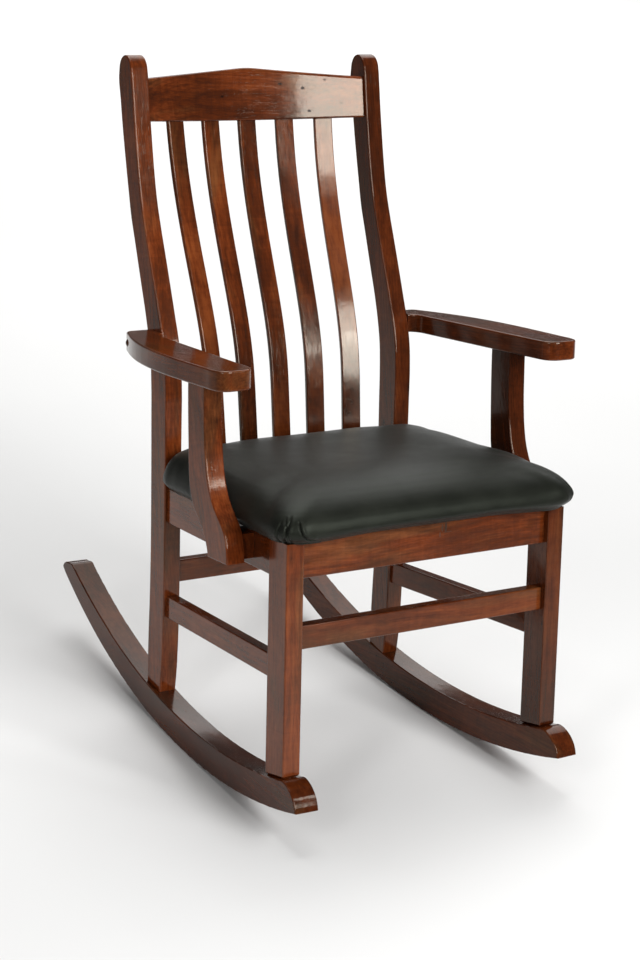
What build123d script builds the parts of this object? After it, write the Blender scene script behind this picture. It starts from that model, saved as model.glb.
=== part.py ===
from build123d import *
import math
import os

# A high-backed mission-style rocking chair: planed hardwood frame, five bent back slats,
# bowed arms on swept arm posts, two curved rockers and a leather-covered drop-on seat.
#
# The chair is drawn square to its legs (legs vertical, +X to the sitter's left, +Y to the
# back, floor tangent to the rockers at z = 0), then every piece is leaned back together
# about the centre of the rockers' arc, to the attitude in which the empty chair balances.
# In the written frame +Z is up, the front of the chair faces -Y, and the origin is on the
# floor at the centre of the chair's outer box. All sizes are millimetres.

# ------------------------------------------------------------------ driving dimensions
LEAN_DEG = 8.7          # backward lean at which the empty chair rests
Y_CENTRE = 236.357      # y of the middle of the leaned chair, moved to the origin
SPLAY_RISE = 0.06       # the splayed rockers' lowest line lies this far above their arc's

ROCK_R = 1038.7         # radius of the rockers' running edge
ROCK_Y0 = 182.4         # y of the running edge's lowest point, legs vertical
ROCK_TOP_R = 1090.4     # radius of the rockers' upper edge
ROCK_TOP_Y0 = 177.4
ROCK_TOP_Z0 = 50.8      # depth of the rocker board at its lowest point
ROCK_T = 42.0           # thickness of the rocker board
ROCK_X = 274.6          # outer face of the rocker at y = 0
ROCK_SPLAY = 0.043      # the rockers close in towards the back, mm per mm
ROCK_FRONT_Y = -50.8

LEG_T = 31.5            # front leg across the chair
LEG_D = 53.0            # front leg front to back
LEG_X = 268.0           # outer face of the front legs
LEG_TOP = 440.0

POST_T = 31.5           # back post across the chair
POST_X = 246.8          # outer face of the back posts

APRON_Z0, APRON_Z1 = 380.0, 440.0
APRON_T = 22.0
RAIL_Y = 12.0           # front apron and front stretcher sit this far behind the leg face
STR_T = 22.0
STR_SIDE_T = 20.0
STR_REAR_T = 20.0
APRON_SIDE_X = (264.0, 241.5)   # outer face of the side aprons at the leg and at the post
STR_SIDE_X = (261.5, 241.0)     # outer face of the side stretchers at the leg and at the post
REAR_APRON_Y = 417.2
REAR_APRON_T = 32.8
STR_FRONT = (266.5, 304.5)
STR_SIDE = (214.5, 252.5)
STR_REAR = (272.0, 310.0)
REAR_Y = 426.0          # front face of the rear stretcher
TENON = 19.0            # tenon length
TENON_T = 10.0

ARM_Z1 = 699.5          # top face of the arms
ARM_T = 32.0
ARM_POST_X = 313.5      # outer face of the arm posts
ARM_POST_T = 33.0

CREST_R = 760.0         # plan radius of the crest rail's front face
CREST_T = 22.0
CREST_Z0 = 1036.0
CREST_END_Z1 = 1106.8
CREST_PEAK_Z1 = 1124.8
CREST_END_Y = 537.7     # front face of the crest at the posts, bottom edge
CREST_LEAN = 6.8        # degrees

SLAT_W = 33.3
SLAT_T = 9.0
SLAT_COUNT = 5
SLAT_PITCH_BOTTOM = 66.5
SLAT_PITCH_TOP = 74.0
SLAT_BOW_BOTTOM = 13.0  # how far the outer slats stand in front of the middle one
SLAT_BOW_TOP = 12.8
SLAT_TURN = 5.8         # degrees each slat turns towards the sitter, per place from the middle

EASE = 2.5              # eased arris on exposed timber
SEAT_Z = 440.0          # underside of the seat, on the rails
SEAT_H = 80.0
LEATHER = 1.5

os.makedirs("parts", exist_ok=True)

# ------------------------------------------------------------------ helpers
X_AXIS = Vector(1, 0, 0)


def yz_prism(edges, x0, x1):
    """Extrude a closed outline drawn in the YZ plane from x0 to x1."""
    face = make_face(edges)
    solid = extrude(face, amount=x1 - x0, dir=(1, 0, 0))
    return Pos(x0, 0, 0) * solid


def box(x0, x1, y0, y1, z0, z1):
    return Pos((x0 + x1) / 2, (y0 + y1) / 2, (z0 + z1) / 2) * Box(x1 - x0, y1 - y0, z1 - z0)


def mirror_x(solid):
    return mirror(solid, about=Plane.YZ)


def arc_z(y, radius, y0, z0):
    return z0 + radius - math.sqrt(radius * radius - (y - y0) ** 2)


def run_z(y):
    return arc_z(y, ROCK_R, ROCK_Y0, 0.0)


def rock_top_z(y):
    return arc_z(y, ROCK_TOP_R, ROCK_TOP_Y0, ROCK_TOP_Z0)


def in_yz(a):
    return (0, a[0], a[1])


def in_xy(a):
    return (a[0], a[1], 0)


def arc_from(a, ta, b, at):
    """Arc from a to b that leaves a along ta, all plain pairs, drawn in the plane given by at."""
    cy, cz = b[0] - a[0], b[1] - a[1]
    c = math.hypot(cy, cz)
    turn = math.atan2(cy * ta[1] - cz * ta[0], cy * ta[0] + cz * ta[1])
    if abs(c * turn / 4) < 0.003:
        return Line(at(a), at(b))
    h = 0.5 * c * math.tan(turn / 2)
    m = ((a[0] + b[0]) / 2 - cz / c * h, (a[1] + b[1]) / 2 + cy / c * h)
    return ThreePointArc(at(a), at(m), at(b))


def fair_curve(points, t0=None, t1=None, at=in_yz):
    """A smooth curve through the stations, drawn as tangent arcs."""
    n = len(points)

    def unit(v):
        ln = math.hypot(*v)
        return (v[0] / ln, v[1] / ln)

    tans = []
    for i in range(n):
        if i == 0 or i == n - 1:
            tans.append(None)
            continue
        a, p, b = points[i - 1], points[i], points[i + 1]
        u = (p[0] - a[0], p[1] - a[1])
        w = (b[0] - p[0], b[1] - p[1])
        lu, lw = math.hypot(*u), math.hypot(*w)
        tans.append(unit((u[0] / lu * lw + w[0] / lw * lu, u[1] / lu * lw + w[1] / lw * lu)))

    def mirrored(t, u):
        d = unit(u)
        k = 2 * (t[0] * d[0] + t[1] * d[1])
        return unit((k * d[0] - t[0], k * d[1] - t[1]))

    chord0 = (points[1][0] - points[0][0], points[1][1] - points[0][1])
    chord1 = (points[-1][0] - points[-2][0], points[-1][1] - points[-2][1])
    tans[0] = unit(t0) if t0 else (mirrored(tans[1], chord0) if n > 2 else unit(chord0))
    tans[-1] = unit(t1) if t1 else (mirrored(tans[-2], chord1) if n > 2 else unit(chord1))
    edges = []
    for i in range(n - 1):
        p, q, tp, tq = points[i], points[i + 1], tans[i], tans[i + 1]
        v = (q[0] - p[0], q[1] - p[1])
        vv = v[0] ** 2 + v[1] ** 2
        t = (tp[0] + tq[0], tp[1] + tq[1])
        vt = v[0] * t[0] + v[1] * t[1]
        a = 2 * (1 - (tp[0] * tq[0] + tp[1] * tq[1]))
        d = vv / (2 * vt) if a < 1e-9 else (-vt + math.sqrt(vt * vt + a * vv)) / a
        m = ((p[0] + q[0] + d * (tp[0] - tq[0])) / 2, (p[1] + q[1] + d * (tp[1] - tq[1])) / 2)
        tm = unit((m[0] - (p[0] + d * tp[0]), m[1] - (p[1] + d * tp[1])))
        edges.append(arc_from(p, tp, m, at))
        edges.append(arc_from(m, tm, q, at))
    return edges


def edges_on_x(solid, xs, tol=0.05):
    """Edges that lie wholly in one of the planes x = value."""
    found = []
    for e in solid.edges():
        b = e.bounding_box()
        if b.max.X - b.min.X < tol and any(abs(b.min.X - x) < tol for x in xs):
            found.append(e)
    return found


def rod(p0, p1, r):
    """A plain round rod from one point to another."""
    a, b = Vector(*p0), Vector(*p1)
    d = b - a
    return extrude(Plane(origin=a, z_dir=d) * Circle(r), amount=d.length)


def screw(p0, p1, r=2.2, head_r=4.2, head_t=2.6):
    """A wood screw: head at p0, plain shank and tip to p1."""
    a, b = Vector(*p0), Vector(*p1)
    d = (b - a).normalized()
    head = extrude(Plane(origin=a, z_dir=d) * Circle(head_r), amount=head_t)
    shank = extrude(Plane(origin=a + d * head_t, z_dir=d) * Circle(r), amount=(b - a).length - head_t)
    return head + shank


LEG_MID = LEG_X - LEG_T / 2
POST_MID = POST_X - POST_T / 2


# ------------------------------------------------------------------ rockers
def make_rocker(side):
    yr, yt = 798.0, 766.0
    run = ThreePointArc(
        in_yz((ROCK_FRONT_Y, run_z(ROCK_FRONT_Y))), in_yz((360.0, run_z(360.0))), in_yz((yr, run_z(yr)))
    )
    # end cut of the tail, its rounded upper corner, then the upper edge runs forward
    tail_face = Line(in_yz((yr, run_z(yr))), in_yz((808.5, 212.0)))
    slope_t = (rock_top_z(yt) - rock_top_z(yt - 1.0)) / 1.0
    tail_round = fair_curve(
        [(808.5, 212.0), (805.0, 218.6), (797.0, 223.2), (785.5, 224.4), (yt, rock_top_z(yt))],
        t0=(0.10, 1.0), t1=(-1.0, -slope_t),
    )
    yn = 4.0
    top = ThreePointArc(in_yz((yt, rock_top_z(yt))), in_yz((380.0, rock_top_z(380.0))), in_yz((yn, rock_top_z(yn))))
    # the front end rolls over in a quarter round down to a crisp lower tip
    slope_n = rock_top_z(yn + 1.0) - rock_top_z(yn)
    nose = fair_curve(
        [
            (yn, rock_top_z(yn)), (-9.0, 67.0), (-22.0, 63.6), (-33.0, 57.2), (-41.0, 49.4), (-46.6, 40.8),
            (ROCK_FRONT_Y, run_z(ROCK_FRONT_Y)),
        ],
        t0=(-1.0, -slope_n),
    )
    solid = yz_prism([run, tail_face] + tail_round + [top] + nose, 0.0, ROCK_T)
    solid = fillet(edges_on_x(solid, [0.0, ROCK_T]), 2.0)
    # set the board on its splayed line: outer face at ROCK_X, closing in towards the back
    ang = math.degrees(math.atan(ROCK_SPLAY))
    inward = -ROCK_T if side > 0 else 0.0
    return Pos(side * ROCK_X, 0, 0) * Rot(0, 0, side * ang) * Pos(inward, 0, 0) * solid


rocker_r, rocker_l = make_rocker(1), make_rocker(-1)

# flat landings for the legs on the rockers' upper edge
FRONT_SEAT = ((0.0, rock_top_z(0.0)), (LEG_D, rock_top_z(LEG_D)))
BACK_SEAT = ((429.0, rock_top_z(429.0)), (474.0, rock_top_z(474.0)))


def above(seat, y_pad=0.0, lift=0.0, height=140.0):
    (ya, za), (yb, zb) = seat
    s = (zb - za) / (yb - ya)
    ya2, yb2 = ya - y_pad, yb + y_pad
    za2, zb2 = za - s * y_pad + lift, zb + s * y_pad + lift
    edges = Polyline((0, ya2, za2), (0, yb2, zb2), (0, yb2, zb2 + height), (0, ya2, za2 + height), close=True)
    return yz_prism(edges, 150.0, 330.0)


for seat in (FRONT_SEAT, BACK_SEAT):
    rocker_r -= above(seat)
    rocker_l -= mirror_x(above(seat))

# ------------------------------------------------------------------ front legs
leg = box(LEG_X - LEG_T, LEG_X, 0.0, LEG_D, 40.0, LEG_TOP)
leg = leg & above(FRONT_SEAT, y_pad=30.0, height=500.0)
leg = chamfer(leg.faces().sort_by(Axis.Z)[0].edges(), 4.0)
leg = fillet([e for e in leg.edges().filter_by(Axis.Z) if e.length > 100], EASE)
front_leg_r = leg

# ------------------------------------------------------------------ back posts
# Stations up the front face, over the rounded top and down the back face of the bandsawn post.
POST_LINE = [
    (430.8, 78.0), (425.4, 114.0), (421.4, 165.0), (418.5, 250.0), (417.2, 400.0), (415.9, 545.0), (415.9, 606.0),
    (418.4, 642.0), (428.2, 687.0), (440.8, 724.0), (473.5, 818.0), (490.4, 865.0), (501.6, 899.0), (508.8, 927.0),
    (515.4, 960.0), (523.2, 1006.0), (530.5, 1053.0), (536.8, 1100.0), (539.4, 1117.0),
    (543.4, 1130.5), (551.4, 1139.8), (562.4, 1143.6), (573.2, 1140.2), (580.6, 1131.0), (583.6, 1117.0),
    (577.0, 1061.0), (567.6, 1007.0), (558.6, 963.0), (549.4, 921.0), (540.8, 883.0), (525.2, 835.0), (506.0, 776.0),
    (487.4, 719.0), (477.6, 682.0), (470.6, 646.0), (467.6, 602.0), (466.8, 545.0), (465.9, 440.0), (466.2, 320.0),
    (468.6, 238.0), (471.8, 178.0), (473.2, 135.0), (473.4, 78.0),
]
base_s = Line(in_yz(POST_LINE[-1]), in_yz(POST_LINE[0]))
post = yz_prism(fair_curve(POST_LINE) + [base_s], POST_X - POST_T, POST_X)
post = fillet([e for e in edges_on_x(post, [POST_X - POST_T, POST_X]) if e.center().Z > 78.5], EASE)
post = post & above(BACK_SEAT, y_pad=260.0, height=1400.0)
back_post_r = post


# ------------------------------------------------------------------ rails between the legs
def cross_rail(z0, z1, y0, thick, half, tenon_y, inset=8.0):
    """Rail across the chair with a tenon on each end. Returns the rail and its right-hand tenon."""
    body = box(-half, half, y0, y0 + thick, z0, z1)
    body = fillet(body.edges().filter_by(Axis.X), 2.0)
    zt0, zt1 = z0 + inset, z1 - inset
    tenon = box(half - 4.0, half + TENON, tenon_y - TENON_T / 2, tenon_y + TENON_T / 2, zt0, zt1)
    tip = box(half, half + TENON, tenon_y - TENON_T / 2, tenon_y + TENON_T / 2, zt0, zt1)
    return body + tenon + mirror_x(tenon), tip


half_front = LEG_X - LEG_T
half_rear = POST_X - POST_T
front_apron, fa_tip = cross_rail(APRON_Z0, APRON_Z1, RAIL_Y, APRON_T, half_front, RAIL_Y + APRON_T / 2)
front_stretcher, fs_tip = cross_rail(*STR_FRONT, RAIL_Y, STR_T, half_front, RAIL_Y + STR_T / 2)
rear_apron, ra_tip = cross_rail(APRON_Z0, APRON_Z1, REAR_APRON_Y, REAR_APRON_T, half_rear, 443.5)
rear_stretcher, rs_tip = cross_rail(*STR_REAR, REAR_Y, STR_REAR_T, half_rear, REAR_Y + STR_REAR_T / 2)


def side_rail(z0, z1, x_front, x_rear, thick, post_y, inset=8.0):
    """Rail from the front leg's back face to the back post's front face, +X side.

    x_front and x_rear place its outer face at the leg and at the post. Its ends are cut to the
    leg and the post, and its tenons are housed square in them."""
    slope = (x_rear - x_front) / (417.0 - LEG_D)
    ang = math.degrees(math.atan(slope))
    long = box(-thick, 0.0, -40.0, 440.0, z0, z1)
    long = fillet(long.edges().filter_by(Axis.Y), 2.0)
    long = Pos(x_front, LEG_D, 0) * Rot(0, 0, -ang) * long
    (ya, yb) = post_y
    cut = yz_prism(
        [Line(in_yz(p), in_yz(q)) for p, q in (
            ((LEG_D, z0 - 5), (ya, z0)), ((ya, z0), (yb, z1)), ((yb, z1), (LEG_D, z1 + 5)), ((LEG_D, z1 + 5), (LEG_D, z0 - 5)),
        )], 150.0, 330.0,
    )
    body = long & cut
    zt0, zt1 = z0 + inset, z1 - inset
    xa = x_front - thick / 2
    xb = x_rear - thick / 2
    tip_a = box(xa - TENON_T / 2, xa + TENON_T / 2, LEG_D - TENON, LEG_D + 0.5, zt0, zt1)
    tip_b = box(xb - TENON_T / 2, xb + TENON_T / 2, yb - 4.0, yb + TENON - 1.0, zt0, zt1)
    return body, tip_a, tip_b


def outer_x(y, x_front, x_rear):
    return x_front + (x_rear - x_front) * (y - LEG_D) / (417.0 - LEG_D)


side_apron_r, sa_a, sa_b = side_rail(APRON_Z0, APRON_Z1, *APRON_SIDE_X, APRON_T, (417.2, 416.7))
side_stretcher_r, ss_a, ss_b = side_rail(*STR_SIDE, *STR_SIDE_X, STR_SIDE_T, (419.2, 418.2))

for tip in (fa_tip, fs_tip, sa_a, ss_a):
    front_leg_r -= tip

# ------------------------------------------------------------------ crest rail
crest_mid_y = CREST_END_Y + CREST_R - math.sqrt(CREST_R**2 - (half_rear) ** 2)
crest_centre = Vector(0, crest_mid_y - CREST_R, 0)
ring = (
    Pos(crest_centre.X, crest_centre.Y, 0)
    * extrude(Circle(CREST_R + CREST_T) - Circle(CREST_R), amount=110.0)
)
H_END = (CREST_END_Z1 - CREST_Z0) / math.cos(math.radians(CREST_LEAN))
H_PEAK = (CREST_PEAK_Z1 - CREST_Z0) / math.cos(math.radians(CREST_LEAN))
gable = make_face(
    [
        Line((-half_rear, 400, 0), (half_rear, 400, 0)),
        Line((half_rear, 400, 0), (half_rear, 400, H_END)),
        Line((half_rear, 400, H_END), (18.0, 400, H_PEAK - 0.8)),
        ThreePointArc((18.0, 400, H_PEAK - 0.8), (0, 400, H_PEAK), (-18.0, 400, H_PEAK - 0.8)),
        Line((-18.0, 400, H_PEAK - 0.8), (-half_rear, 400, H_END)),
        Line((-half_rear, 400, H_END), (-half_rear, 400, 0)),
    ]
)
crest = ring & extrude(gable, amount=300.0, dir=(0, 1, 0))
crest_long = [
    e
    for e in crest.edges()
    if (e.bounding_box().max.X - e.bounding_box().min.X) > 40.0
]
crest_top = [e for e in crest_long if e.center().Z > 20.0]
crest_low = [e for e in crest_long if e.center().Z < 20.0]
crest = fillet(crest_top, 5.0)
crest_low = [
    e
    for e in crest.edges()
    if (e.bounding_box().max.X - e.bounding_box().min.X) > 300.0 and e.center().Z < 1.0
]
crest = fillet(crest_low, 3.0)
# tenons, square to the posts
end_y = CREST_END_Y + 0.5 * CREST_T + 2.0
ct_box = box(half_rear - 14.0, half_rear + TENON, end_y - 5.0, end_y + 5.0, 11.0, H_END - 13.0)
ct_tip = box(half_rear, half_rear + TENON, end_y - 5.0, end_y + 5.0, 11.0, H_END - 13.0)
crest = crest + ct_box + mirror_x(ct_box)


def lean_crest(s):
    pivot = (0, CREST_END_Y, CREST_Z0)
    return Pos(*pivot) * Rot(-CREST_LEAN, 0, 0) * Pos(0, -CREST_END_Y, 0) * s


crest = lean_crest(crest)
ct_tip = lean_crest(ct_tip)

# ------------------------------------------------------------------ back slats
# Front-face stations of the middle slat, (y, z).
SLAT_FRONT = [
    (436.4, 424.0), (437.8, 450.0), (442.4, 498.0), (449.0, 564.0), (457.4, 630.0), (470.6, 686.0), (489.6, 742.7),
    (518.0, 818.0), (544.2, 893.0), (562.6, 959.0), (572.0, 1005.0), (579.6, 1052.0),
]


def make_slat(place):
    """A bent slat; place is 0 in the middle, 1 and 2 towards the right."""
    zb, zt = SLAT_FRONT[0][1], SLAT_FRONT[-1][1]
    k = place / 2.0
    line = []
    for y, z in SLAT_FRONT:
        f = (z - zb) / (zt - zb)
        x = place * (SLAT_PITCH_BOTTOM + (SLAT_PITCH_TOP - SLAT_PITCH_BOTTOM) * f)
        bow = (SLAT_BOW_BOTTOM + (SLAT_BOW_TOP - SLAT_BOW_BOTTOM) * f) * k * k
        line.append(Vector(x, y - bow, z))
    turn = math.radians(SLAT_TURN * place)
    sections = []
    for i, p in enumerate(line):
        a, b = line[max(0, i - 1)], line[min(len(line) - 1, i + 1)]
        t = (b - a).normalized()
        across = Vector(math.cos(turn), -math.sin(turn), 0)
        across = (across - t * across.dot(t)).normalized()
        thick = t.cross(across)
        centre = p + thick * (SLAT_T / 2)
        pl = Plane(origin=centre, x_dir=across, z_dir=t)
        sections.append(pl * RectangleRounded(SLAT_W, SLAT_T, 1.9))
    ends = []
    for i in (0, len(line) - 1):
        a, b = line[max(0, i - 1)], line[min(len(line) - 1, i + 1)]
        t = (b - a).normalized()
        across = Vector(math.cos(turn), -math.sin(turn), 0)
        across = (across - t * across.dot(t)).normalized()
        thick = t.cross(across)
        # a slot a little wider than the slat, to take its slight bend
        out = t if i else -t
        pl = Plane(origin=line[i] + thick * (SLAT_T / 2) + out * 0.5, x_dir=across, z_dir=-out)
        slot = extrude(pl * RectangleRounded(SLAT_W + 0.3, SLAT_T + 0.7, 2.2), amount=40.0)
        ends.append(slot)
    return loft(sections), ends


slat_mid, ends_mid = make_slat(0)
slat_in, ends_in = make_slat(1)
slat_out, ends_out = make_slat(2)
slats = [mirror_x(slat_out), mirror_x(slat_in), slat_mid, slat_in, slat_out]
for low, high in (ends_mid, ends_in, ends_out):
    crest -= high
    rear_apron -= low
for low, high in (ends_in, ends_out):
    crest -= mirror_x(high)
    rear_apron -= mirror_x(low)

# ------------------------------------------------------------------ back post mortises
for tip in (ra_tip, rs_tip, ct_tip, sa_b, ss_b):
    back_post_r -= tip
side_apron_r = side_apron_r + sa_a + sa_b
side_stretcher_r = side_stretcher_r + ss_a + ss_b
# ------------------------------------------------------------------ arms
BUTTON_AT = (299.6, 452.0)      # where the screw button sits on the arm's outer edge
arm_inner_x = (262.4, 281.0)    # straight part of the inner edge, back end and front end
front_edge = Line(in_xy((307.0, 73.5)), in_xy((326.0, 73.5)))
outer = fair_curve(
    [
        (326.0, 73.5), (333.7, 75.0), (340.1, 79.4), (344.4, 85.8), (346.0, 93.5), (346.5, 125.0), (346.6, 180.0), (345.4, 245.0),
        (339.6, 310.0), (327.4, 372.0), (309.6, 427.0), BUTTON_AT, (295.6, 462.0), (290.6, 470.4), (281.0, 474.5),
    ],
    t0=(1.0, 0.0), t1=(-1.0, 0.0), at=in_xy,
)
rear_edge = Line(in_xy((281.0, 474.5)), in_xy((POST_X, 474.5)))
post_side = Line(in_xy((POST_X, 474.5)), in_xy((POST_X, 427.5)))
flare = fair_curve(
    [(POST_X, 427.5), (255.6, 421.6), (260.6, 411.0), (arm_inner_x[0], 394.0)], t0=(1.0, -0.10), t1=(0.063, -1.0), at=in_xy
)
inner = Line(in_xy((arm_inner_x[0], 394.0)), in_xy((arm_inner_x[1], 99.5)))
inner_corner = fair_curve(
    [(arm_inner_x[1], 99.5), (283.1, 89.6), (288.7, 81.1), (297.1, 75.5), (307.0, 73.5)], t0=(0.063, -1.0), t1=(1.0, 0.0), at=in_xy
)
arm_face = make_face([front_edge] + outer + [rear_edge, post_side] + flare + [inner] + inner_corner)
arm = extrude(arm_face, amount=ARM_T, dir=(0, 0, 1))
arm = Pos(0, 0, ARM_Z1 - ARM_T) * arm
arm_long = []
for e in arm.edges():
    b = e.bounding_box()
    flat = b.max.Z - b.min.Z < 0.05
    on_post = abs(b.max.X - POST_X) < 0.05 and abs(b.min.X - POST_X) < 0.05
    if flat and not on_post:
        arm_long.append(e)
arm = fillet(arm_long, 3.0)
arm_r = arm

# ------------------------------------------------------------------ arm posts
AP_Z1 = ARM_Z1 - ARM_T
AP_FRONT = [
    (176.4, AP_Z1), (175.8, 630.0), (173.4, 574.0), (168.6, 535.0), (163.2, 512.0), (156.8, 495.5), (149.0, 481.0),
    (139.2, 469.0), (128.6, 458.6), (118.6, 448.4), (110.4, 436.6), (105.4, 423.6), (102.8, 409.0), (102.4, 390.0),
]
AP_BACK = [
    (161.0, 390.0), (164.0, 401.0), (169.6, 415.0), (177.4, 428.0), (187.0, 439.6), (197.4, 450.0), (207.4, 462.0),
    (215.6, 478.0), (221.0, 500.0), (223.8, 532.0), (225.8, 570.0), (227.8, 622.0), (228.4, AP_Z1),
]
ap_f = fair_curve(AP_FRONT, t0=(0.0, -1.0))
ap_b = fair_curve(AP_BACK, t1=(0.0, 1.0))
ap_bot = Line(in_yz(AP_FRONT[-1]), in_yz(AP_BACK[0]))
ap_top = Line(in_yz(AP_BACK[-1]), in_yz(AP_FRONT[0]))
arm_post = yz_prism(ap_f + [ap_bot] + ap_b + [ap_top], ARM_POST_X - ARM_POST_T, ARM_POST_X)
ap_edges = [
    e
    for e in edges_on_x(arm_post, [ARM_POST_X - ARM_POST_T, ARM_POST_X])
    if not (e.bounding_box().min.Z > AP_Z1 - 0.1)
]
arm_post = fillet(ap_edges, EASE)
arm_post_r = arm_post

# packing block between the arm post's foot and the side apron
def apron_outer(y):
    return outer_x(y, *APRON_SIDE_X)


def apron_inner(y):
    return apron_outer(y) - APRON_T / math.cos(math.atan((APRON_SIDE_X[1] - APRON_SIDE_X[0]) / (417.0 - LEG_D)))


def slab(points, z0, z1):
    """Flat board with the given outline in plan."""
    face = make_face(Polyline(*[(x, y, z0) for x, y in points], close=True))
    return extrude(face, amount=z1 - z0, dir=(0, 0, 1))


ap_in = ARM_POST_X - ARM_POST_T
spacer = slab([(250.0, 110.0), (ap_in, 110.0), (ap_in, 157.0), (250.0, 157.0)], 394.0, 434.0)
shadow = slab([(200.0, 100.0), (apron_outer(100.0), 100.0), (apron_outer(170.0), 170.0), (200.0, 170.0)], 370.0, 450.0)
spacer_r = spacer - shadow

# ------------------------------------------------------------------ corner blocks of the seat frame
BLOCK_Z0, BLOCK_Z1 = 408.0, 430.0
mask_side = slab([(apron_inner(30.0), 30.0), (330.0, 30.0), (330.0, 440.0), (apron_inner(440.0), 440.0)], 370.0, 450.0)
block_f = slab([(245.0, RAIL_Y + APRON_T), (245.0, 116.0), (150.0, RAIL_Y + APRON_T)], BLOCK_Z0, BLOCK_Z1)
block_f = block_f - mask_side - box(half_front, 300.0, -10.0, LEG_D, 380.0, 450.0)
block_b = slab([(245.0, REAR_APRON_Y), (245.0, 330.0), (136.0, REAR_APRON_Y)], BLOCK_Z0, BLOCK_Z1)
block_b = block_b - mask_side - box(half_rear, 300.0, 414.0, 480.0, 380.0, 450.0)


# ------------------------------------------------------------------ seat
def seat_body(shrink):
    """The padded seat: a slab with well rounded edges, drawn in by shrink all round."""
    xf, xb = 287.0, 263.0
    yf, yb = -20.0, 414.0
    outline = FilletPolyline((xf, yf, 0), (xb, yb, 0), (-xb, yb, 0), (-xf, yf, 0), radius=38.0, close=True)
    face = make_face(outline)
    if shrink:
        face = offset(face, -shrink)
    body = Pos(0, 0, SEAT_Z + shrink) * extrude(face, amount=SEAT_H - 2 * shrink, dir=(0, 0, 1))
    low = body.faces().sort_by(Axis.Z)[0].edges()
    body = fillet(low, 17.0 - shrink)
    high = body.faces().sort_by(Axis.Z)[-1].edges()
    return fillet(high, 32.0 - shrink)


outer_body = seat_body(0.0)
inner_body = seat_body(LEATHER)
foam_body = seat_body(LEATHER + 0.2)
board = make_face(
    Polyline((246.0, 6.0, SEAT_Z + LEATHER), (226.0, 390.0, SEAT_Z + LEATHER), (-226.0, 390.0, SEAT_Z + LEATHER), (-246.0, 6.0, SEAT_Z + LEATHER), close=True)
)
board = extrude(board, amount=12.0, dir=(0, 0, 1))
# the leather turns under the board's edge; inside that margin the underside is open
opening = make_face(
    Polyline((212.0, 32.0, SEAT_Z - 1), (192.0, 364.0, SEAT_Z - 1), (-192.0, 364.0, SEAT_Z - 1), (-212.0, 32.0, SEAT_Z - 1), close=True)
)
opening = extrude(opening, amount=5.0, dir=(0, 0, 1))
seat_cover = outer_body - inner_body - opening
seat_foam = foam_body - board
dust_cover = make_face(
    Polyline((210.0, 34.0, SEAT_Z), (190.0, 362.0, SEAT_Z), (-190.0, 362.0, SEAT_Z), (-210.0, 34.0, SEAT_Z), close=True)
)
dust_cover = extrude(dust_cover, amount=LEATHER, dir=(0, 0, 1))

# ------------------------------------------------------------------ hidden fastenings
hosts = {
    "rocker": rocker_r, "leg": front_leg_r, "post": back_post_r, "arm": arm_r, "arm_post": arm_post_r, "spacer": spacer_r,
    "side_apron": side_apron_r, "block_f": block_f, "block_b": block_b, "front_apron": front_apron, "rear_apron": rear_apron,
    "board": board, "dust": dust_cover, "cover": seat_cover, "foam": seat_foam,
}


def let_in(solid, *names):
    for n in names:
        hosts[n] = hosts[n] - solid


# dowels that peg the legs and the posts to the rockers
rocker_dowels = []
for x, y, seat, host in (
    (LEG_MID, 15.0, FRONT_SEAT, "leg"), (LEG_MID, 38.0, FRONT_SEAT, "leg"),
    (POST_MID, 441.0, BACK_SEAT, "post"), (POST_MID, 462.0, BACK_SEAT, "post"),
):
    (ya, za), (yb, zb) = seat
    z = za + (zb - za) * (y - ya) / (yb - ya)
    d = rod((x, y, z - 30.0), (x, y, z + 34.0), 4.75)
    let_in(d, "rocker", host)
    rocker_dowels.append(d)

# dowels from the arm posts up into the arms
arm_dowels = []
for y in (189.0, 215.0):
    d = rod((ARM_POST_X - ARM_POST_T / 2, y, AP_Z1 - 30.0), (ARM_POST_X - ARM_POST_T / 2, y, AP_Z1 + 20.0), 4.75)
    let_in(d, "arm", "arm_post")
    arm_dowels.append(d)

# one long screw through each arm's rear end into the back post, under a domed button
AS_Z = ARM_Z1 - ARM_T / 2
bx, by = BUTTON_AT
bn = Vector(0.934, 0.358, 0).normalized()
bc = Vector(bx, by, AS_Z) + bn * 0.16
arm_screw = screw((bx - 9.0, by, AS_Z), (POST_X - 24.0, by, AS_Z), 2.6, 4.2, 3.2)
let_in(rod((bx + 6.0, by, AS_Z), (bx - 9.0, by, AS_Z), 4.2), "arm")
let_in(arm_screw, "arm", "post")
cap_r, cap_h = 6.3, 2.6
ball_r = (cap_r**2 + cap_h**2) / (2 * cap_h)
half_h = math.sqrt(ball_r**2 - (cap_r / 2) ** 2) - (ball_r - cap_h)
profile = make_face(
    [
        Line((0, 0, 0), (cap_r, 0, 0)),
        ThreePointArc((cap_r, 0, 0), (cap_r / 2, 0, half_h), (0, 0, cap_h)),
        Line((0, 0, cap_h), (0, 0, 0)),
    ]
)
dome = Plane(origin=bc, z_dir=bn).location * revolve(profile, Axis.Z)
arm_button = rod((bx - 8.0, by, AS_Z), (bx - 0.2, by, AS_Z), 4.1) + dome

# screws from inside the side aprons, through the packing blocks into the arm posts
arm_post_screws = []
for y, z in ((124.0, 424.0), (143.0, 405.0)):
    p = (apron_inner(y) - 0.4, y, z)
    d = screw(p, (ARM_POST_X - 12.0, y, z), 2.4, 4.4, 2.6)
    let_in(d, "side_apron", "spacer", "arm_post")
    arm_post_screws.append(d)

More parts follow.
